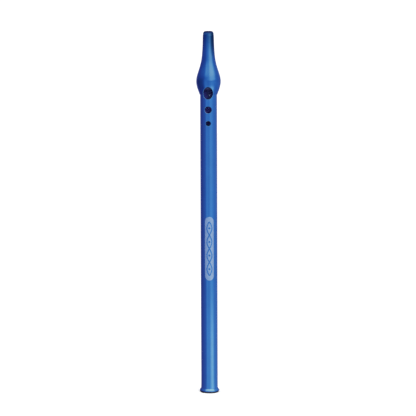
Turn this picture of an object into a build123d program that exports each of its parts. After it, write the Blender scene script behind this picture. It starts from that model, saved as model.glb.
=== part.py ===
"""Anodised aluminium whistle with a slip-on bulb mouthpiece and a flared foot.

The frame: millimetres, origin at the centre of the face the whistle stands on, +Z along the bore towards
the mouthpiece, and -Y the front, where the window and the two tone holes open.
"""

from build123d import *

from math import radians, tan
import os

# Tube, drawn from half-inch stock
OVERALL_LENGTH = 275.0
TUBE_RADIUS = 6.35
TUBE_WALL = 0.9
BORE_RADIUS = TUBE_RADIUS - TUBE_WALL

# Clearances between pieces
SLIDING_GAP = 0.02
SEAT_GAP = 0.01

# Mouthpiece: its outline is given as (radius, height above its rim)
MOUTHPIECE_LENGTH = 47.7
RIM_HEIGHT = OVERALL_LENGTH - MOUTHPIECE_LENGTH
BULB_OUTLINE = (
    (6.62, 0.0),
    (7.76, 3.0),
    (8.86, 6.6),
    (9.27, 9.9),
    (8.66, 14.25),
    (7.42, 18.2),
    (5.42, 25.6),
    (4.56, 33.5),
    (4.17, 43.9),
)
TIP_RADIUS = 3.98
TIP_ROUNDING = 2.0
BLOW_HOLE_RADIUS = 1.6
BLOW_HOLE_FLARE = 0.35

# Inside the mouthpiece: a socket for the tube, and a chamber above it
SOCKET_DEPTH = 16.8
SOCKET_RADIUS = TUBE_RADIUS + SLIDING_GAP
SHOULDER_HEIGHT = RIM_HEIGHT + SOCKET_DEPTH
TUBE_TOP = SHOULDER_HEIGHT - 0.1
TUBE_LEAD_IN = 0.3
CHAMBER_RADIUS = 5.2
CHAMBER_TOP = SHOULDER_HEIGHT + 3.2
CHAMBER_TAPER = 7.5

# Two seals in grooves in the socket
GROOVE_RADIUS = 7.56
GROOVE_WIDTH = 2.0
UPPER_GROOVE = RIM_HEIGHT + 12.9
LOWER_GROOVE = RIM_HEIGHT + 7.7
SEAL_WIDTH = 1.76

# Openings in the front
WINDOW_HEIGHT = 228.3
WINDOW_WIDTH = 7.1
WINDOW_LENGTH = 9.2
UPPER_HOLE = (215.8, 2.6)
LOWER_HOLE = (205.6, 1.9)
TUBE_EDGE_BREAK = 0.22
BULB_EDGE_BREAK = 0.3
CUTTER_REACH = 14.0

# Lip below the window, thinned from inside so that the air meets a narrow edge
LIP_HEIGHT = WINDOW_HEIGHT - WINDOW_LENGTH / 2
LIP_THINNING = 0.45
LIP_RAMP_LENGTH = 4.2
LIP_ARC = 52.0

# Block that stands on a shoulder in the top of the tube: the gap in front of it is the windway
BLOCK_SEAT_RADIUS = BORE_RADIUS + 0.2
BLOCK_SEAT_HEIGHT = 231.2
BLOCK_RADIUS = BLOCK_SEAT_RADIUS - SEAT_GAP
BLOCK_BOTTOM = BLOCK_SEAT_HEIGHT + SEAT_GAP
BLOCK_CHAMFER = 0.3
WINDWAY_ENTRY = 1.9
WINDWAY_EXIT = 1.05

# Dowel that holds the block
PIN_RADIUS = 0.75
PIN_LENGTH = 4.4
PIN_HEIGHT = RIM_HEIGHT + 10.3
PIN_SINK = 0.15

# Foot: an upright lip, then a cone that leans in by FLARE_ANGLE and fades into the tube
FOOT_RADIUS = 7.45
LIP_BOTTOM_ROUNDING = 0.35
LIP_TOP_ROUNDING = 0.3
LIP_TOP = 1.6
FLARE_ANGLE = 33.0
CONE_TOP_RADIUS = 6.5
FOOT_TOP = 3.9
SEAT_RADIUS = 5.9
WASHER_THICKNESS = 0.8
WASHER_RADIUS = 6.95
WASHER_BORE = 5.7
WASHER_ROUNDING = 0.2


def turned(*edges):
    """A solid of revolution round the bore from a closed outline drawn as (radius, height)."""
    return revolve(Plane.XZ * make_face(edges), Axis.Z)


def ring(inner, outer, low, high):
    """A plain ring round the bore."""
    height = high - low
    solid = Cylinder(outer, height) - Cylinder(inner, height)
    return Pos(0, 0, low + height / 2) * solid


def front_cutter(outline, height):
    """A prism that opens the front of the whistle only, its outline facing -Y."""
    return extrude(Plane.XZ * Pos(0, height) * outline, CUTTER_REACH)


def window_cutter():
    """The oval window, cut through tube and mouthpiece alike."""
    return front_cutter(Ellipse(WINDOW_WIDTH / 2, WINDOW_LENGTH / 2), WINDOW_HEIGHT)


def outer_front_edges(part, least_radius, low, high):
    """Edges of the front openings that lie on the outside of a round part."""
    found = []
    for edge in part.edges():
        middle = edge @ 0.5
        off_axis = (middle.X**2 + middle.Y**2) ** 0.5
        if off_axis > least_radius and low < middle.Z < high and middle.Y < -1:
            found.append(edge)
    return found


def mouthpiece_outside():
    """The solid turned shape of bulb and beak, with the upper part of the window cut into it."""
    points = [(radius, RIM_HEIGHT + height) for radius, height in BULB_OUTLINE]
    bulb = Spline(*points, tangents=((0.36, 1.0), (-0.03, 1.0)))
    tip_start = (TIP_RADIUS, OVERALL_LENGTH - TIP_ROUNDING)
    tip_end = (TIP_RADIUS - TIP_ROUNDING, OVERALL_LENGTH)
    beak = Line(bulb @ 1, tip_start)
    tip = RadiusArc(tip_start, tip_end, -TIP_ROUNDING)
    closing = Polyline(tip_end, (0, OVERALL_LENGTH), (0, RIM_HEIGHT), bulb @ 0)
    outside = turned(bulb, beak, tip, closing) - window_cutter()
    window_top = WINDOW_HEIGHT + WINDOW_LENGTH / 2
    edges = outer_front_edges(outside, TUBE_RADIUS, RIM_HEIGHT + 0.5, window_top)
    return fillet(edges, BULB_EDGE_BREAK)


def mouthpiece_inside():
    """The air passage: blow hole, chamber and socket in one turned core."""
    outline = Polyline(
        (0, OVERALL_LENGTH),
        (BLOW_HOLE_RADIUS + BLOW_HOLE_FLARE, OVERALL_LENGTH),
        (BLOW_HOLE_RADIUS, OVERALL_LENGTH - BLOW_HOLE_FLARE),
        (BLOW_HOLE_RADIUS, CHAMBER_TOP + CHAMBER_TAPER),
        (CHAMBER_RADIUS, CHAMBER_TOP),
        (CHAMBER_RADIUS, SHOULDER_HEIGHT),
        (SOCKET_RADIUS, SHOULDER_HEIGHT),
        (SOCKET_RADIUS, RIM_HEIGHT),
        (0, RIM_HEIGHT),
        close=True,
    )
    return turned(*outline.edges())


def mouthpiece():
    """Turned bulb and beak that slips over the top of the tube."""
    part = mouthpiece_outside() - mouthpiece_inside()
    for height in (UPPER_GROOVE, LOWER_GROOVE):
        low = height - GROOVE_WIDTH / 2
        high = height + GROOVE_WIDTH / 2
        part -= ring(SOCKET_RADIUS - 1, GROOVE_RADIUS, low, high)
    return part


def o_ring(height):
    """Rubber ring, squeezed oval between the tube and the floor of its groove."""
    inner = TUBE_RADIUS + SLIDING_GAP
    outer = GROOVE_RADIUS - SEAT_GAP
    section = Ellipse((outer - inner) / 2, SEAL_WIDTH / 2)
    return revolve(Plane.XZ * Pos((inner + outer) / 2, height) * section, Axis.Z)


def windway_block():
    """Plug in the top of the tube, flattened in front so that the air leaves as a thin sheet."""
    height = TUBE_TOP - BLOCK_BOTTOM
    block = Pos(0, 0, BLOCK_BOTTOM + height / 2) * Cylinder(BLOCK_RADIUS, height)
    block = chamfer(block.edges().group_by(Axis.Z)[0], BLOCK_CHAMFER)
    front = -BLOCK_SEAT_RADIUS
    outline = Polyline(
        (front - 1, BLOCK_BOTTOM),
        (front + WINDWAY_EXIT, BLOCK_BOTTOM),
        (front + WINDWAY_ENTRY, TUBE_TOP),
        (front - 1, TUBE_TOP),
        close=True,
    )
    windway = extrude(Plane.YZ * make_face(outline), BLOCK_RADIUS + 1, both=True)
    return block - windway - pin_shape(PIN_RADIUS + SEAT_GAP, PIN_LENGTH + SEAT_GAP)


def pin_shape(radius, length):
    """A rod across the back of the tube, with its outer end just below the surface."""
    middle = TUBE_RADIUS - PIN_SINK - length / 2
    return Pos(0, middle, PIN_HEIGHT) * Rot(90, 0, 0) * Cylinder(radius, length)


def block_pin():
    """Dowel through the back of the tube that keeps the block level with the window."""
    return pin_shape(PIN_RADIUS, PIN_LENGTH)


def lip_undercut():
    """Wedge that thins the wall below the window from inside."""
    inside = BORE_RADIUS - 0.5
    above = LIP_HEIGHT + 1.2
    outline = Polyline(
        (inside, LIP_HEIGHT - LIP_RAMP_LENGTH),
        (BORE_RADIUS, LIP_HEIGHT - LIP_RAMP_LENGTH),
        (BORE_RADIUS + LIP_THINNING, LIP_HEIGHT),
        (BORE_RADIUS + LIP_THINNING, above),
        (inside, above),
        close=True,
    )
    wedge = revolve(Plane.XZ * make_face(outline), Axis.Z, LIP_ARC)
    return Rot(0, 0, -90 - LIP_ARC / 2) * wedge


def body_tube():
    """Tube with a rebate for the foot, the window, two tone holes and a hole for the dowel."""
    tube = ring(BORE_RADIUS, TUBE_RADIUS, WASHER_THICKNESS, TUBE_TOP)
    top_circles = tube.edges().filter_by(GeomType.CIRCLE).group_by(Axis.Z)[-1]
    tube = chamfer(top_circles.sort_by(SortBy.RADIUS)[-1], TUBE_LEAD_IN)
    tube -= ring(BORE_RADIUS - 1, BLOCK_SEAT_RADIUS, BLOCK_SEAT_HEIGHT, TUBE_TOP)
    tube -= ring(SEAT_RADIUS, TUBE_RADIUS + 1, WASHER_THICKNESS, FOOT_TOP)
    tube -= window_cutter()
    for height, radius in (UPPER_HOLE, LOWER_HOLE):
        tube -= front_cutter(Circle(radius), height)
    low = LOWER_HOLE[0] - LOWER_HOLE[1] - 1
    high = WINDOW_HEIGHT + WINDOW_LENGTH / 2 + 1
    tube = fillet(outer_front_edges(tube, TUBE_RADIUS - 0.05, low, high), TUBE_EDGE_BREAK)
    tube -= lip_undercut()
    return tube - Pos(0, PIN_SINK * 2, 0) * pin_shape(PIN_RADIUS + SEAT_GAP, PIN_LENGTH)


def foot_ring():
    """Flared collar pressed on to the rebated end of the tube, flush with it at the top."""
    bottom_centre = (FOOT_RADIUS - LIP_BOTTOM_ROUNDING, WASHER_THICKNESS + LIP_BOTTOM_ROUNDING)
    bottom = CenterArc(bottom_centre, LIP_BOTTOM_ROUNDING, -90, 90)
    top_centre = (FOOT_RADIUS - LIP_TOP_ROUNDING, LIP_TOP)
    top = CenterArc(top_centre, LIP_TOP_ROUNDING, 0, FLARE_ANGLE)
    inward = tan(radians(FLARE_ANGLE))
    cone_rise = ((top @ 1).X - CONE_TOP_RADIUS) / inward
    cone_top = (CONE_TOP_RADIUS, (top @ 1).Y + cone_rise)
    cove = Spline(cone_top, (TUBE_RADIUS, FOOT_TOP), tangents=((-inward, 1.0), (0.0, 1.0)))
    seat = Polyline(
        cove @ 1,
        (SEAT_RADIUS + SEAT_GAP, FOOT_TOP),
        (SEAT_RADIUS + SEAT_GAP, WASHER_THICKNESS),
        bottom @ 0,
    )
    return turned(bottom, Line(bottom @ 1, top @ 0), top, Line(top @ 1, cone_top), cove, seat)


def foot_washer():
    """Soft ring under the foot, which the whistle stands on."""
    washer = ring(WASHER_BORE, WASHER_RADIUS, 0, WASHER_THICKNESS)
    bottom_circles = washer.edges().filter_by(GeomType.CIRCLE).group_by(Axis.Z)[0]
    return fillet(bottom_circles.sort_by(SortBy.RADIUS)[-1], WASHER_ROUNDING)


parts = {
    "mouthpiece": mouthpiece(),
    "upper_o_ring": o_ring(UPPER_GROOVE),
    "lower_o_ring": o_ring(LOWER_GROOVE),
    "windway_block": windway_block(),
    "block_pin": block_pin(),
    "body_tube": body_tube(),
    "foot_ring": foot_ring(),
    "foot_washer": foot_washer(),
}

os.makedirs("parts", exist_ok=True)
for name, solid in parts.items():
    export_step(solid, f"parts/{name}.step")
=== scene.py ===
"""Looks, light and camera for the blue anodised whistle.

Lengths are in metres, and in millimetres where a shader measures its own piece.
"""

import math

import bpy
from mathutils import Euler, Matrix, Vector


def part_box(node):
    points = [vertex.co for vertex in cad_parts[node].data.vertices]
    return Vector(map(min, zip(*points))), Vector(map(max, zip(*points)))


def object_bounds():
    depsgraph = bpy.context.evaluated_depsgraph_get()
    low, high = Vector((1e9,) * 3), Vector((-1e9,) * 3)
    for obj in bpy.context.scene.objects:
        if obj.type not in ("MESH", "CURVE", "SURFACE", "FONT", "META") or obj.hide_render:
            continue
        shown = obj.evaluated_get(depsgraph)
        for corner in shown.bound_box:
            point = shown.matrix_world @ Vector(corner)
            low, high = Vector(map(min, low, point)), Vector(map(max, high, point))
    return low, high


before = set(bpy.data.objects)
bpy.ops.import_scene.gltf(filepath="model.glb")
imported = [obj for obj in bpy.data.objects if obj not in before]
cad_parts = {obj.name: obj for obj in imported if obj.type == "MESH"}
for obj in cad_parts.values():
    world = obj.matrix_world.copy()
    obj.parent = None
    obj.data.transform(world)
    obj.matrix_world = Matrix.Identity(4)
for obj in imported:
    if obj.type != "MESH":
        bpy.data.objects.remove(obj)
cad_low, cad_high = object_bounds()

MM = 1000.0

# Camera: in front, level with the upper end of the whistle and tilted down to its middle
CAMERA_DISTANCE = 1.12
CAMERA_HEIGHT = 0.235
CAMERA_LENS = 128.0
CAMERA_TILT = 4.7785
CAMERA_LEAN = 0.2
CAMERA_ASIDE = -0.00036
VIEW_TURN = 3.0

# Ornament marked on the front of the tube
ORNAMENT_LOW = 86.7
ORNAMENT_HIGH = 135.1
ORNAMENT_HALF_WIDTH = 3.5
ORNAMENT_TURN = 5.5
ORNAMENT_WAVES = 4
ORNAMENT_REACH = 1.9
ORNAMENT_LINE = 0.85
ORNAMENT_BEAD = 0.81
ORNAMENT_SOFTNESS = 0.06
ORNAMENT_SKIN = (6.2, 6.3)

# Painted highlight: a bright spot painted inside the bore behind the window
GLINT_ASIDE = 0.6
GLINT_HEIGHT = 226.9
GLINT_SPREAD = (0.3, 0.9)
GLINT_BACK = 4.0

# Where the inside of the tube and of the mouthpiece begins: radii, and heights for the mouthpiece
TUBE_LINING = (5.75, 6.15)
SOCKET_TOP = 244.15
SOCKET_LIMIT = 6.42
CHAMBER_LIMIT = 5.3
CHAMBER_TAPER = (247.3, 254.8)
BLOW_HOLE_LIMIT = 2.0

# Heights on the mouthpiece: painted shade darkens the beak along the first, and its tip is painted dark and
# turns dull over the second
BEAK_PAINTED_SHADE_ZONE = (257.0, 272.0)
TIP_PAINTED_SHADE_ZONE = (271.6, 274.2)
BEAK_PAINTED_SHADE = 0.42
BEAK_COAT = 0.25
TIP_METALLIC = 0.15
TIP_SHINE = 0.05

# Clear coat over all the anodising
COAT_ROUGHNESS = 0.06
COAT_INDEX = 1.8

# Fine surface: shares of wear, line tint and lining, and depths in millimetres
EDGE_WEAR = 0.2
LINE_TINT = 0.12
LINE_DEPTH = 0.0006
LINING_ROUGHNESS = 0.5
LINING_METALLIC = 0.3

# Dyes of the anodising, dark to pale; the first two are painted shade on the beak and on its tip
BEAK_PAINTED_SHADE_COLOUR = (0.006, 0, 0.05, 1)
TIP_PAINTED_SHADE_COLOUR = (0.005, 0.012, 0.070, 1)
DYE_THICK = (0, 0, 0.35, 1)
DYE_DEEP = (0.028, 0.250, 0.69, 1)
DYE_LIGHT = (0.034, 0.275, 0.74, 1)
DYE_LINES = (0.05, 0.32, 0.80, 1)
DYE_WORN = (0.10, 0.36, 0.80, 1)
MARK_COLOUR = (0.29, 0.395, 0.59, 1)
# The bore's lining: paler low at the small holes with painted light, darker high behind the window with
# painted shade
LINING_WITH_PAINTED_LIGHT = (0.085, 0.070, 0.44, 1)
LINING_WITH_PAINTED_SHADE = (0.034, 0.036, 0.24, 1)
LINING_LIGHT_TO_SHADE = (217.5, 222.5)
PAINTED_GLINT_COLOUR = (0.55, 0.65, 0.95, 1)
# Black of the painted dark reflections on bulb and beak
PAINTED_REFLECTION_BLACK = (0, 0, 0, 1)

# Painted dark reflections on bulb and beak, as of dark stands close to the whistle: azimuths over which each
# painted reflection fades in and out, and its strength.
# They darken the dye itself, by the direction that the surface mirrors: painted shade, not lit.
BEAK_PAINTED_REFLECTION = ((28.0, 78.0), (135.0, 165.0), 0.66)
BULB_PAINTED_REFLECTION = ((-150.0, -110.0), (-75.0, -30.0), 0.38)

# Heights on the mouthpiece that carry the painted reflections (the bulb's as low, high and softness), and
# how steep they reach
BEAK_PAINTED_REFLECTION_HEIGHT = (250.0, 266.0)
BULB_PAINTED_REFLECTION_HEIGHT = (232.0, 240.5, 4.0)
PAINTED_REFLECTION_TOP = (0.15, 0.35)

# Brightness of the studio by azimuth, as polished metal sees it: 0 is behind the camera, + is to its right
HORIZON = (
    (-180, 0.50), (-164, 0.26), (-145, 0.12), (-128, 0.10), (-115, 0.09), (-80, 0.165), (-56, 0.20),
    (-45, 0.26), (-35, 0.40), (-25, 0.47), (-5, 0.41), (15, 0.50), (31, 0.60), (48, 0.52),
    (65, 0.44), (90, 0.35), (120, 0.30), (140, 0.20), (160, 0.27), (180, 0.50),
)
LOW_BAND = (
    (-180, 0.5), (-164, 0.26), (-145, 0.12), (-128, 0.12), (-110, 0.13), (-90, 0.18), (-75, 0.20),
    (-60, 0.22), (-45, 0.27), (-35, 0.38), (-25, 0.45), (-5, 0.54), (8, 0.78), (18, 0.96),
    (30, 1.00), (42, 0.84), (55, 0.62), (68, 0.48), (80, 0.40), (100, 0.33), (120, 0.30),
    (140, 0.21), (160, 0.27), (180, 0.5),
)
HIGH_BAND = (
    (-180, 0.5), (-164, 0.26), (-145, 0.12), (-128, 0.12), (-110, 0.13), (-68, 0.18), (-45, 0.23),
    (-35, 0.34), (-25, 0.43), (-5, 0.60), (10, 0.86), (27, 1.15), (42, 1.15), (55, 1.05),
    (68, 0.70), (80, 0.44), (100, 0.33), (140, 0.30), (160, 0.38), (180, 0.5),
)
SOFTBOX = (
    (-180, 0.3), (-166, 0.16), (-105, 0.26), (-75, 0.29), (-58, 0.31), (-46, 0.40), (-35, 0.74),
    (-22, 0.90), (-5, 0.82), (10, 1.14), (25, 1.38), (48, 1.40), (63, 1.30), (77, 0.92), (92, 0.56),
    (115, 0.60), (166, 0.3), (180, 0.3),
)
CEILING = (
    (-180, 0.3), (-110, 0.25), (-75, 0.55), (-48, 1.35), (0, 1.55), (60, 1.65), (78, 1.0),
    (95, 0.35), (130, 0.25), (180, 0.3),
)
ZENITH = 0.7

# Degrees above the horizon over which one ring of the studio gives way to the next
RINGS = (
    (3.6, 4.6, LOW_BAND),
    (5.3, 12.0, HIGH_BAND),
    (18.0, 36.0, SOFTBOX),
    (40.0, 50.0, CEILING),
)
ZENITH_RING = (70.0, 85.0)
EVEN_LIGHT = 1.12

# The highest level that a curve of the studio can reach
CURVE_TOP = 2.0

# Light pool on the floor in front on the right, by azimuth
FLOOR_POOL = (
    (-180, 0.0), (-42, 0.0), (-24, 0.10), (5, 0.15), (25, 0.38), (42, 0.58), (52, 0.52), (62, 0.30),
    (74, 0.06), (105, 0.04), (130, 0.0), (180, 0.0),
)
POOL_EDGE = (0.15, 0.68)
POOL_STEEP_GAIN = 0.8

# The floor in polished metal: a steep look is by the ray's slope, and the dims are azimuths and a share
STEEP_LOOK = (0.2, 0.5)
FLOOR_FAR = (2.0, 6.0)
FLOOR_NEAR_GAIN = 0.1
FLOOR_DIM_LEFT = (-60.0, -35.0, 0.35)
FLOOR_DIM_RIGHT = (50.0, 75.0, 0.2)
FOOT_SHADOW = (0.007, 0.02)

# The floor itself, just clear of the foot
FLOOR_REACH = 6.0
FLOOR_DROP = 0.00002


class Nodes:
    """Shorthand for building a node tree out of sockets and numbers."""

    def __init__(self, tree):
        self.tree = tree
        tree.nodes.clear()

    def add(self, kind, **settings):
        node = self.tree.nodes.new(kind)
        for name, value in settings.items():
            setattr(node, name, value)
        return node

    def put(self, socket, value):
        if isinstance(value, bpy.types.NodeSocket):
            self.tree.links.new(value, socket)
        else:
            socket.default_value = value

    def math(self, operation, first, second=0.0, third=0.0):
        node = self.add("ShaderNodeMath", operation=operation)
        for socket, value in zip(node.inputs, (first, second, third)):
            self.put(socket, value)
        return node.outputs[0]

    def total(self, *values):
        result = values[0]
        for value in values[1:]:
            result = self.math("ADD", result, value)
        return result

    def product(self, *values):
        result = values[0]
        for value in values[1:]:
            result = self.math("MULTIPLY", result, value)
        return result

    def rise(self, value, start, end):
        """0 below start, 1 above end, smooth between."""
        node = self.add("ShaderNodeMapRange", interpolation_type="SMOOTHSTEP")
        self.put(node.inputs["Value"], value)
        self.put(node.inputs["From Min"], start)
        self.put(node.inputs["From Max"], end)
        return node.outputs["Result"]

    def fall(self, value, start, end):
        """1 below start, 0 above end, smooth between."""
        return self.rest(self.rise(value, start, end))

    def rest(self, value):
        """What a share leaves of the whole."""
        return self.math("SUBTRACT", 1.0, value)

    def between(self, value, low, high, soft):
        """1 between low and high, fading to 0 over soft on either side."""
        above = self.rise(value, low - soft, low + soft)
        below = self.fall(value, high - soft, high + soft)
        return self.product(above, below)

    def distance(self, first, second):
        """The length of the two sides' diagonal."""
        squares = self.total(self.product(first, first), self.product(second, second))
        return self.math("SQRT", squares)

    def curve(self, value, points):
        """A smooth curve through (degrees, result) points that run from -180 to 180."""
        node = self.add("ShaderNodeFloatCurve")
        self.put(node.inputs["Value"], self.math("MULTIPLY_ADD", value, 1 / 360, 0.5))
        line = node.mapping.curves[0]
        places = [(angle / 360 + 0.5, result / CURVE_TOP) for angle, result in points]
        line.points[0].location = places[0]
        line.points[1].location = places[-1]
        for place in places[1:-1]:
            line.points.new(*place)
        for point in line.points:
            point.handle_type = "AUTO_CLAMPED"
        node.mapping.update()
        return self.math("MULTIPLY", node.outputs[0], CURVE_TOP)

    def mix(self, share, first, second):
        """A number between two numbers."""
        return self.math("MULTIPLY_ADD", share, self.math("SUBTRACT", second, first), first)

    def blend(self, share, first, second):
        """A colour between two colours."""
        node = self.add("ShaderNodeMix", data_type="RGBA")
        self.put(node.inputs[0], share)
        self.put(node.inputs[6], first)
        self.put(node.inputs[7], second)
        return node.outputs[2]

    def vector(self, x, y, z):
        node = self.add("ShaderNodeCombineXYZ")
        for socket, value in zip(node.inputs, (x, y, z)):
            self.put(socket, value)
        return node.outputs[0]

    def noise(self, vector, scale, detail, rough):
        node = self.add("ShaderNodeTexNoise")
        self.put(node.inputs["Vector"], vector)
        self.put(node.inputs["Scale"], scale)
        self.put(node.inputs["Detail"], detail)
        self.put(node.inputs["Roughness"], rough)
        return node.outputs["Fac"]


class Place:
    """Where a point of the surface is on its own piece: millimetres, and the angle round the bore."""

    def __init__(self, nodes):
        coordinates = nodes.add("ShaderNodeTexCoord").outputs["Object"]
        parts = nodes.add("ShaderNodeSeparateXYZ")
        nodes.put(parts.inputs[0], coordinates)
        self.x = nodes.math("MULTIPLY", parts.outputs[0], MM)
        self.y = nodes.math("MULTIPLY", parts.outputs[1], MM)
        self.z = nodes.math("MULTIPLY", parts.outputs[2], MM)
        self.radius = nodes.distance(self.x, self.y)
        self.angle = nodes.math("ARCTAN2", self.x, nodes.math("MULTIPLY", self.y, -1.0))
        self.whole = nodes.vector(self.x, self.y, self.z)


def new_material(name):
    material = bpy.data.materials.new(name)
    material.use_nodes = True
    return material, Nodes(material.node_tree)


def finish_material(nodes, shader):
    output = nodes.add("ShaderNodeOutputMaterial")
    nodes.put(output.inputs["Surface"], shader.outputs[0])


def bump(nodes, height, distance, strength):
    node = nodes.add("ShaderNodeBump")
    nodes.put(node.inputs["Height"], height)
    nodes.put(node.inputs["Distance"], distance / MM)
    nodes.put(node.inputs["Strength"], strength)
    return node.outputs[0]


def worn_edge(nodes, radius, low, high):
    """1 on edges, where the surface turns quickly, and 0 on the flats."""
    bevel = nodes.add("ShaderNodeBevel", samples=6)
    nodes.put(bevel.inputs["Radius"], radius / MM)
    geometry = nodes.add("ShaderNodeNewGeometry")
    dot = nodes.add("ShaderNodeVectorMath", operation="DOT_PRODUCT")
    nodes.put(dot.inputs[0], bevel.outputs[0])
    nodes.put(dot.inputs[1], geometry.outputs["Normal"])
    return nodes.rise(nodes.rest(dot.outputs["Value"]), low, high)


def ornament(nodes, place):
    """A pale strip with round ends, and crossing waves and beads left blue in it: 1 where it is pale."""
    middle = (ORNAMENT_LOW + ORNAMENT_HIGH) / 2
    half = (ORNAMENT_HIGH - ORNAMENT_LOW) / 2
    straight = half - ORNAMENT_HALF_WIDTH
    along = nodes.math("SUBTRACT", place.z, middle)
    turned = nodes.math("SUBTRACT", place.angle, math.radians(ORNAMENT_TURN))
    across = nodes.math("MULTIPLY", turned, cad_radius("body_tube"))
    past = nodes.math("SUBTRACT", nodes.math("ABSOLUTE", along), straight)
    away = nodes.distance(across, nodes.math("MAXIMUM", past, 0.0))
    strip = drawn_within(nodes, away, ORNAMENT_HALF_WIDTH)

    turn = math.pi * ORNAMENT_WAVES / (2 * straight)
    start = nodes.math("ADD", along, straight)
    phase = nodes.math("MULTIPLY", start, turn)
    wave = nodes.math("MULTIPLY", nodes.math("SINE", phase), ORNAMENT_REACH)
    slope = nodes.math("MULTIPLY", nodes.math("COSINE", phase), ORNAMENT_REACH * turn)
    steep = nodes.math("SQRT", nodes.math("MULTIPLY_ADD", slope, slope, 1.0))
    lines = 0.0
    for side in (1.0, -1.0):
        gap = nodes.math("ABSOLUTE", nodes.math("MULTIPLY_ADD", wave, side, across))
        line = drawn_within(nodes, nodes.math("DIVIDE", gap, steep), ORNAMENT_LINE / 2)
        lines = nodes.math("MAXIMUM", lines, line)

    loop = 2 * straight / ORNAMENT_WAVES
    from_knot = nodes.math("PINGPONG", start, loop / 2)
    from_bead = nodes.math("SUBTRACT", loop / 2, from_knot)
    beads = drawn_within(nodes, nodes.distance(across, from_bead), ORNAMENT_BEAD)
    inside = nodes.math("LESS_THAN", nodes.math("ABSOLUTE", along), straight)
    blue = nodes.product(nodes.math("MAXIMUM", lines, beads), inside)
    front = nodes.product(nodes.math("LESS_THAN", place.y, 0.0), nodes.rise(place.radius, *ORNAMENT_SKIN))
    return nodes.product(strip, nodes.rest(blue), front)


def drawn_within(nodes, away, reach):
    """1 nearer than reach, with the slightly soft edge of an etched mark."""
    return nodes.fall(away, reach - ORNAMENT_SOFTNESS, reach + ORNAMENT_SOFTNESS)


def cad_radius(node):
    """Half the width of a CAD node, in millimetres."""
    low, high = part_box(node)
    return (high.x - low.x) / 2 * MM


def tube_inside(nodes, place):
    """1 on the bore of the tube, fading out through the wall of its openings."""
    return nodes.fall(place.radius, *TUBE_LINING)


def painted_glint(nodes, place):
    """1 on a small painted highlight on the back of the bore, behind the window."""
    across = nodes.math("SUBTRACT", place.x, GLINT_ASIDE)
    along = nodes.math("SUBTRACT", place.z, GLINT_HEIGHT)
    spot = nodes.fall(nodes.distance(across, along), *GLINT_SPREAD)
    return nodes.product(spot, nodes.math("GREATER_THAN", place.y, GLINT_BACK))


def mouthpiece_inside(nodes, place):
    """1 in the socket, the chamber and the blow hole."""
    taper = nodes.rise(place.z, *CHAMBER_TAPER)
    chamber = nodes.mix(taper, CHAMBER_LIMIT, BLOW_HOLE_LIMIT)
    socket = nodes.math("LESS_THAN", place.z, SOCKET_TOP)
    limit = nodes.mix(socket, chamber, SOCKET_LIMIT)
    return nodes.math("LESS_THAN", place.radius, limit)


def azimuth_of(nodes, x, y):
    """Degrees round the vertical, 0 behind the camera and + to its right."""
    angle = nodes.math("ARCTAN2", x, nodes.product(y, -1.0))
    return nodes.math("MULTIPLY_ADD", angle, math.degrees(1.0), -VIEW_TURN)


def painted_reflection_shade(nodes, place):
    """How far bulb and beak carry painted dark reflections, as of stands close by: left of the bulb, and
    right of the beak.
    """
    mirrored = nodes.add("ShaderNodeSeparateXYZ")
    nodes.put(mirrored.inputs[0], nodes.add("ShaderNodeTexCoord").outputs["Reflection"])
    azimuth = azimuth_of(nodes, mirrored.outputs[0], mirrored.outputs[1])
    beak = nodes.product(painted_stand_reflection(nodes, azimuth, BEAK_PAINTED_REFLECTION), nodes.rise(place.z, *BEAK_PAINTED_REFLECTION_HEIGHT))
    bulb = nodes.product(painted_stand_reflection(nodes, azimuth, BULB_PAINTED_REFLECTION), nodes.between(place.z, *BULB_PAINTED_REFLECTION_HEIGHT))
    return nodes.product(nodes.total(beak, bulb), nodes.fall(mirrored.outputs[2], *PAINTED_REFLECTION_TOP))


def painted_stand_reflection(nodes, azimuth, settings):
    """One painted dark reflection, soft on either side."""
    start, end, strength = settings
    return nodes.product(nodes.rise(azimuth, *start), nodes.fall(azimuth, *end), strength)


def fine_lines(nodes, place, turned):
    """Tool lines round a turned piece, or drawing lines along a tube."""
    if turned:
        around = nodes.product(place.angle, 0.25)
        vector = nodes.vector(around, nodes.product(place.radius, 9.0), nodes.product(place.z, 9.0))
    else:
        vector = nodes.vector(nodes.product(place.angle, 40.0), 0.0, nodes.product(place.z, 0.05))
    return nodes.noise(vector, 1.0, 3.0, 0.6)


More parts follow.
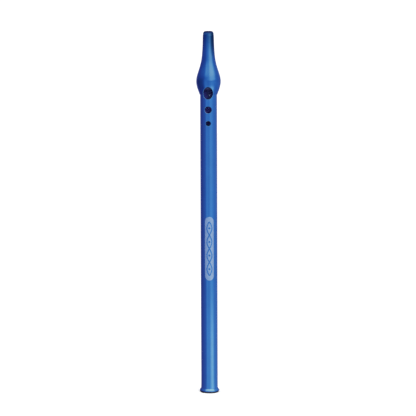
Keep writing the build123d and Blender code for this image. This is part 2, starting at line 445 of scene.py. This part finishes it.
class Finish:
    """What the anodising of one piece looks like, before it goes into a shader."""

    def __init__(self, nodes, place, turned, depth, coat):
        cloud = nodes.noise(place.whole, 0.11, 3.0, 0.55)
        smudge = nodes.noise(place.whole, 0.35, 4.0, 0.6)
        chips = nodes.rise(nodes.noise(place.whole, 1.6, 3.0, 0.6), 0.35, 0.65)
        self.nodes = nodes
        self.place = place
        self.lines = fine_lines(nodes, place, turned)
        self.grain = nodes.noise(place.whole, 9.0, 2.0, 0.5)
        self.edge = nodes.product(worn_edge(nodes, 0.22, 0.02, 0.12), chips)
        self.colour = nodes.blend(nodes.rise(cloud, 0.3, 0.7), DYE_DEEP, DYE_LIGHT)
        on_lines = nodes.product(nodes.rise(self.lines, 0.45, 0.8), LINE_TINT)
        self.colour = nodes.blend(on_lines, self.colour, DYE_LINES)
        self.colour = nodes.blend(depth, self.colour, DYE_THICK)
        rough = nodes.math("MULTIPLY_ADD", smudge, 0.05, 0.10)
        self.rough = nodes.math("MULTIPLY_ADD", self.lines, 0.04, rough)
        self.metallic = 1.0
        self.shine = 0.5
        self.coat = coat

    def paint_shade_on_beak(self):
        """Painted shade darkening the dye towards the tip, a tip painted dark and dull, and painted dark
        reflections in bulb and beak.
        """
        nodes = self.nodes
        beak = nodes.rise(self.place.z, *BEAK_PAINTED_SHADE_ZONE)
        tip = nodes.rise(self.place.z, *TIP_PAINTED_SHADE_ZONE)
        painted_dark = painted_reflection_shade(nodes, self.place)
        # Painted shade: the beak darkens towards the tip, and the tip is painted dark
        self.colour = nodes.blend(nodes.product(beak, BEAK_PAINTED_SHADE), self.colour, BEAK_PAINTED_SHADE_COLOUR)
        self.colour = nodes.blend(tip, self.colour, TIP_PAINTED_SHADE_COLOUR)
        # Painted shade: dark reflections painted into the dye, and the coat taken off under them
        self.colour = nodes.blend(painted_dark, self.colour, PAINTED_REFLECTION_BLACK)
        self.edge = nodes.product(self.edge, nodes.rest(tip))
        self.coat = nodes.mix(beak, self.coat, BEAK_COAT)
        self.coat = nodes.mix(tip, self.coat, 0.0)
        self.coat = nodes.mix(painted_dark, self.coat, 0.0)
        self.metallic = nodes.mix(tip, self.metallic, TIP_METALLIC)
        self.shine = nodes.mix(tip, self.shine, TIP_SHINE)

    def wear_edges(self):
        """Paler where hands have rubbed the edges."""
        worn = self.nodes.product(self.edge, EDGE_WEAR)
        self.colour = self.nodes.blend(worn, self.colour, DYE_WORN)

    def etch_ornament(self):
        """The ornament takes the dye off, a little unevenly, and leaves the surface rougher."""
        nodes = self.nodes
        speckle = nodes.math("MULTIPLY_ADD", self.grain, 0.3, 0.75)
        marks = nodes.product(ornament(nodes, self.place), speckle)
        self.colour = nodes.blend(marks, self.colour, MARK_COLOUR)
        self.rough = nodes.math("MULTIPLY_ADD", marks, 0.25, self.rough)
        self.metallic = nodes.math("MULTIPLY_ADD", marks, -0.3, self.metallic)
        self.coat = nodes.math("MULTIPLY_ADD", marks, -0.7, self.coat)

    def add_lining(self, hidden):
        """A duller, more violet inside, darkened partly by the duller finish and partly with painted shade.
        It is paler with painted light low at the small holes, darker with painted shade behind the window,
        and carries a painted glint.
        """
        nodes = self.nodes
        lining = nodes.blend(nodes.rise(self.place.z, *LINING_LIGHT_TO_SHADE), LINING_WITH_PAINTED_LIGHT, LINING_WITH_PAINTED_SHADE)
        # Painted highlight: the glint painted on the bore behind the window
        lining = nodes.blend(painted_glint(nodes, self.place), lining, PAINTED_GLINT_COLOUR)
        self.colour = nodes.blend(hidden, self.colour, lining)
        self.rough = nodes.mix(hidden, self.rough, LINING_ROUGHNESS)
        self.metallic = nodes.mix(hidden, self.metallic, LINING_METALLIC)
        self.coat = nodes.mix(hidden, self.coat, 0.0)

    def shader(self):
        nodes = self.nodes
        height = nodes.math("MULTIPLY_ADD", self.grain, 0.2, self.lines)
        shader = nodes.add("ShaderNodeBsdfPrincipled")
        nodes.put(shader.inputs["Base Color"], self.colour)
        nodes.put(shader.inputs["Metallic"], self.metallic)
        nodes.put(shader.inputs["Roughness"], self.rough)
        nodes.put(shader.inputs["Normal"], bump(nodes, height, LINE_DEPTH, 0.5))
        nodes.put(shader.inputs["Specular IOR Level"], self.shine)
        nodes.put(shader.inputs["Coat Weight"], self.coat)
        nodes.put(shader.inputs["Coat Roughness"], COAT_ROUGHNESS)
        nodes.put(shader.inputs["Coat IOR"], COAT_INDEX)
        return shader


def anodised(name, turned, marked=False, depth=0.0, coat=1.0, tip=False, inside=None):
    """Dyed, bright anodised aluminium. depth is how far its dye is thickened."""
    material, nodes = new_material(name)
    place = Place(nodes)
    finish = Finish(nodes, place, turned, depth, coat)
    if tip:
        finish.paint_shade_on_beak()
    finish.wear_edges()
    if marked:
        finish.etch_ornament()
    if inside:
        finish.add_lining(inside(nodes, place))
    finish_material(nodes, finish.shader())
    return material


def rubber(name):
    """Black moulded rubber with a fine grain and a little dust."""
    material, nodes = new_material(name)
    place = Place(nodes)
    grain = nodes.noise(place.whole, 14.0, 3.0, 0.6)
    dust = nodes.noise(place.whole, 1.2, 4.0, 0.65)
    colour = nodes.blend(nodes.rise(dust, 0.45, 0.8), (0.014, 0.014, 0.015, 1), (0.045, 0.044, 0.042, 1))
    shader = nodes.add("ShaderNodeBsdfPrincipled")
    nodes.put(shader.inputs["Base Color"], colour)
    nodes.put(shader.inputs["Roughness"], nodes.math("MULTIPLY_ADD", grain, 0.25, 0.55))
    nodes.put(shader.inputs["Normal"], bump(nodes, grain, 0.02, 0.7))
    nodes.put(shader.inputs["Specular IOR Level"], 0.4)
    finish_material(nodes, shader)
    return material


def stretched_noise(nodes, place, x, y, z):
    """Noise drawn out into lines across the direction with the highest scale."""
    vector = nodes.vector(nodes.product(place.x, x), nodes.product(place.y, y), nodes.product(place.z, z))
    return nodes.noise(vector, 1.0, 2.0, 0.5)


def acetal(name):
    """Blue-black machined plastic with tool lines round it."""
    material, nodes = new_material(name)
    place = Place(nodes)
    tool = stretched_noise(nodes, place, 0.6, 0.6, 11.0)
    mottle = nodes.noise(place.whole, 0.9, 3.0, 0.6)
    colour = nodes.blend(mottle, (0.012, 0.013, 0.075, 1), (0.020, 0.022, 0.11, 1))
    shader = nodes.add("ShaderNodeBsdfPrincipled")
    nodes.put(shader.inputs["Base Color"], colour)
    nodes.put(shader.inputs["Roughness"], nodes.math("MULTIPLY_ADD", tool, 0.2, 0.32))
    nodes.put(shader.inputs["Normal"], bump(nodes, tool, 0.012, 0.7))
    finish_material(nodes, shader)
    return material


def steel(name):
    """Ground steel dowel with lines round it."""
    material, nodes = new_material(name)
    place = Place(nodes)
    lines = stretched_noise(nodes, place, 0.4, 12.0, 0.4)
    stain = nodes.noise(place.whole, 1.5, 3.0, 0.6)
    colour = nodes.blend(stain, (0.42, 0.42, 0.44, 1), (0.62, 0.62, 0.63, 1))
    shader = nodes.add("ShaderNodeBsdfPrincipled")
    nodes.put(shader.inputs["Base Color"], colour)
    nodes.put(shader.inputs["Metallic"], 1.0)
    nodes.put(shader.inputs["Roughness"], nodes.math("MULTIPLY_ADD", lines, 0.15, 0.22))
    nodes.put(shader.inputs["Normal"], bump(nodes, lines, 0.004, 0.6))
    finish_material(nodes, shader)
    return material


def dress(node, material):
    """Gives a CAD node its material."""
    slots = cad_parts[node].data.materials
    slots.clear()
    slots.append(material)


def studio_colour(nodes, level):
    """The studio's light is blue where it is faint and nearly white where it is bright."""
    def filled(rate):
        return nodes.math("SUBTRACT", 1.0, nodes.math("EXPONENT", nodes.product(level, -rate)))

    faint_red = nodes.product(filled(15.0), 0.145)
    red = nodes.math("MULTIPLY_ADD", nodes.math("POWER", level, 2.2), 0.8, faint_red)
    bright_blue = nodes.product(filled(1.9), 0.74)
    blue = nodes.math("MULTIPLY_ADD", filled(12.0), 0.22, bright_blue)
    return nodes.vector(red, level, blue)


def build_world():
    """Even white to the camera and to matt surfaces, and a studio of soft panels to shiny ones."""
    world = bpy.data.worlds.new("studio")
    bpy.context.scene.world = world
    world.use_nodes = True
    world.cycles.sampling_method = "NONE"
    nodes = Nodes(world.node_tree)
    direction = nodes.add("ShaderNodeTexCoord").outputs["Generated"]
    parts = nodes.add("ShaderNodeSeparateXYZ")
    nodes.put(parts.inputs[0], direction)
    azimuth = azimuth_of(nodes, parts.outputs[0], parts.outputs[1])
    height = nodes.product(nodes.math("ARCSINE", parts.outputs[2]), math.degrees(1.0))

    level = nodes.curve(azimuth, HORIZON)
    for start, end, ring in RINGS:
        level = nodes.mix(nodes.rise(height, start, end), level, nodes.curve(azimuth, ring))
    level = nodes.mix(nodes.rise(height, *ZENITH_RING), level, ZENITH)

    path = nodes.add("ShaderNodeLightPath")
    shiny = nodes.add("ShaderNodeBackground")
    nodes.put(shiny.inputs["Color"], studio_colour(nodes, level))
    even = nodes.add("ShaderNodeBackground")
    nodes.put(even.inputs["Color"], (1, 1, 1, 1))
    nodes.put(even.inputs["Strength"], EVEN_LIGHT)
    pick = nodes.add("ShaderNodeMixShader")
    nodes.put(pick.inputs[0], path.outputs["Is Glossy Ray"])
    nodes.put(pick.inputs[1], even.outputs[0])
    nodes.put(pick.inputs[2], shiny.outputs[0])
    output = nodes.add("ShaderNodeOutputWorld")
    nodes.put(output.inputs["Surface"], pick.outputs[0])


def add_light(name, place, target, width, height, power):
    """A soft panel that lights matt surfaces and isn't mirrored in shiny ones."""
    data = bpy.data.lights.new(name, "AREA")
    data.shape = "RECTANGLE"
    data.size = width
    data.size_y = height
    data.energy = power
    light = bpy.data.objects.new(name, data)
    bpy.context.scene.collection.objects.link(light)
    light.location = place
    light.rotation_euler = (Vector(target) - Vector(place)).to_track_quat("-Z", "Y").to_euler()
    light.visible_glossy = False


def floor_glow(nodes):
    """What polished metal sees in the floor: the studio's horizon, and a pool in front on the right."""
    geometry = nodes.add("ShaderNodeNewGeometry")
    parts = nodes.add("ShaderNodeSeparateXYZ")
    nodes.put(parts.inputs[0], geometry.outputs["Position"])
    look = nodes.add("ShaderNodeSeparateXYZ")
    nodes.put(look.inputs[0], geometry.outputs["Incoming"])
    x, y = parts.outputs[0], parts.outputs[1]
    azimuth = azimuth_of(nodes, x, y)
    distance = nodes.distance(x, y)
    steep = nodes.rise(look.outputs[2], *STEEP_LOOK)
    pool = nodes.product(nodes.curve(azimuth, FLOOR_POOL), nodes.fall(distance, *POOL_EDGE))
    pool = nodes.product(pool, nodes.math("MULTIPLY_ADD", steep, POOL_STEEP_GAIN, 1.0))

    near = nodes.fall(distance, *FLOOR_FAR)
    gain = nodes.math("MULTIPLY_ADD", near, FLOOR_NEAR_GAIN, 1.0)
    level = nodes.product(nodes.curve(azimuth, HORIZON), gain)
    left_start, left_end, left_dim = FLOOR_DIM_LEFT
    right_start, right_end, right_dim = FLOOR_DIM_RIGHT
    left = nodes.product(nodes.fall(azimuth, left_start, left_end), left_dim)
    right = nodes.product(nodes.rise(azimuth, right_start, right_end), right_dim)
    level = nodes.product(level, nodes.rest(nodes.product(steep, nodes.total(left, right))))
    level = nodes.math("ADD", level, pool)
    level = nodes.product(level, nodes.rise(distance, *FOOT_SHADOW))
    glow = nodes.add("ShaderNodeEmission")
    nodes.put(glow.inputs["Color"], studio_colour(nodes, level))
    return glow


def build_floor():
    """A pale matt floor, seen from above only."""
    data = bpy.data.meshes.new("floor")
    reach = FLOOR_REACH
    corners = [(-reach, -reach, 0), (reach, -reach, 0), (reach, reach, 0), (-reach, reach, 0)]
    data.from_pydata(corners, [], [(0, 1, 2, 3)])
    floor = bpy.data.objects.new("floor", data)
    bpy.context.scene.collection.objects.link(floor)
    floor.location.z = cad_low.z - FLOOR_DROP
    material, nodes = new_material("pale_floor")
    cloud = nodes.noise(nodes.add("ShaderNodeTexCoord").outputs["Object"], 3.0, 2.0, 0.5)
    matt = nodes.add("ShaderNodeBsdfDiffuse")
    nodes.put(matt.inputs["Color"], nodes.blend(cloud, (0.93, 0.93, 0.93, 1), (0.96, 0.96, 0.96, 1)))
    seen = nodes.add("ShaderNodeMixShader")
    nodes.put(seen.inputs[0], nodes.add("ShaderNodeLightPath").outputs["Is Glossy Ray"])
    nodes.put(seen.inputs[1], matt.outputs[0])
    nodes.put(seen.inputs[2], floor_glow(nodes).outputs[0])
    clear = nodes.add("ShaderNodeBsdfTransparent")
    pick = nodes.add("ShaderNodeMixShader")
    nodes.put(pick.inputs[0], nodes.add("ShaderNodeNewGeometry").outputs["Backfacing"])
    nodes.put(pick.inputs[1], seen.outputs[0])
    nodes.put(pick.inputs[2], clear.outputs[0])
    finish_material(nodes, pick)
    material.cycles.emission_sampling = "NONE"
    data.materials.append(material)


def build_camera():
    """In front of the whistle, which is seen turned by VIEW_TURN and leaning by CAMERA_LEAN."""
    data = bpy.data.cameras.new("camera")
    data.sensor_width = 36.0
    data.lens = CAMERA_LENS
    data.clip_start = 0.01
    data.clip_end = 50.0
    camera = bpy.data.objects.new("camera", data)
    bpy.context.scene.collection.objects.link(camera)
    turn = Matrix.Rotation(math.radians(VIEW_TURN), 4, "Z")
    place = Matrix.Translation((CAMERA_ASIDE, -CAMERA_DISTANCE, CAMERA_HEIGHT))
    aim = Euler((math.radians(90 - CAMERA_TILT), math.radians(CAMERA_LEAN), 0), "XYZ").to_matrix().to_4x4()
    camera.matrix_world = turn @ place @ aim
    bpy.context.scene.camera = camera


mouthpiece_finish = anodised(
    "anodised_mouthpiece", turned=True, depth=0.22, coat=0.66, tip=True, inside=mouthpiece_inside
)
dress("mouthpiece", mouthpiece_finish)
dress("body_tube", anodised("anodised_tube", turned=False, marked=True, inside=tube_inside))
dress("foot_ring", anodised("anodised_foot", turned=True))
dress("windway_block", acetal("black_acetal"))
dress("block_pin", steel("dowel_steel"))
for name in ("upper_o_ring", "lower_o_ring", "foot_washer"):
    dress(name, rubber(name + "_rubber"))

build_world()
build_floor()
add_light("key", place=(0.42, -1.0, 0.44), target=(0, 0, 0.2), width=0.25, height=0.25, power=7.0)
add_light("fill", place=(-0.7, -0.5, 0.5), target=(0, 0, 0.14), width=0.6, height=0.6, power=2.0)
build_camera()
bpy.context.scene.view_settings.view_transform = "Standard"
